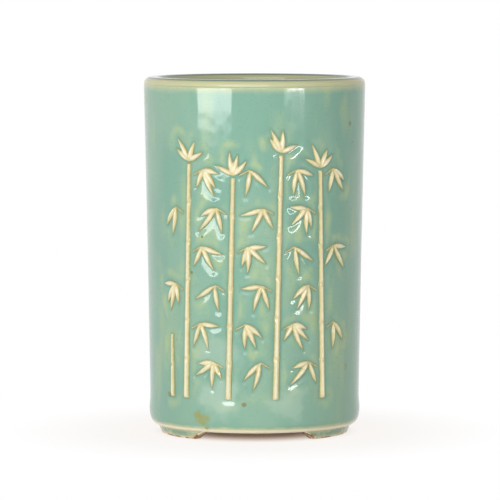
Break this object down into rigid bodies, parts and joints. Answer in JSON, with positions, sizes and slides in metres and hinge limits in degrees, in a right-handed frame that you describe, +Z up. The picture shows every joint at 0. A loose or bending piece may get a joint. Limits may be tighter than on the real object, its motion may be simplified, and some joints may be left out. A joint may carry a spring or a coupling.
{
  "type": "celadon brush pot",
  "caption": "Cylindrical glazed ceramic brush pot with bamboo in low relief on its front, open at the top, on bracket feet.",
  "frame": {"origin": "centre of the pot's footprint on the table, at the soles of the feet", "axes": "+Z up along the pot's axis, -Y out of the decorated front, +X to the viewer's right"},
  "size_m": [0.0994, 0.1005, 0.16],
  "materials": {
    "celadon_glaze": "glossy pale blue-green celadon glaze",
    "relief_glaze": "glossy thin cream glaze over raised clay",
    "biscuit": "unglazed clay burnt buff to orange"
  },
  "bodies": {
    "root": {"wall": "celadon_glaze", "base_disc": "celadon_glaze", "foot_left": "biscuit", "foot_right": "biscuit", "foot_back": "biscuit", "culm_1": "relief_glaze", "culm_2": "relief_glaze", "culm_3": "relief_glaze", "culm_4": "relief_glaze", "shoot": "relief_glaze", "crown_1": "relief_glaze", "crown_2": "relief_glaze", "crown_3": "relief_glaze", "crown_4": "relief_glaze", "spray_1_left_1": "relief_glaze", "spray_1_left_2": "relief_glaze", "spray_1_right_1": "relief_glaze", "spray_1_right_2": "relief_glaze", "spray_1_right_3": "relief_glaze", "spray_2_left_1": "relief_glaze", "spray_2_left_2": "relief_glaze", "spray_2_left_3": "relief_glaze", "spray_2_right_1": "relief_glaze", "spray_2_right_2": "relief_glaze", "spray_2_right_3": "relief_glaze", "spray_3_left_1": "relief_glaze", "spray_3_left_2": "relief_glaze", "spray_3_left_3": "relief_glaze", "spray_3_right_1": "relief_glaze", "spray_3_right_2": "relief_glaze", "spray_3_right_3": "relief_glaze", "spray_4_left_1": "relief_glaze", "spray_4_left_2": "relief_glaze", "spray_4_left_3": "relief_glaze", "spray_4_right_1": "relief_glaze", "spray_4_right_2": "relief_glaze", "spray_4_right_3": "relief_glaze"}
  },
  "joints": []
}
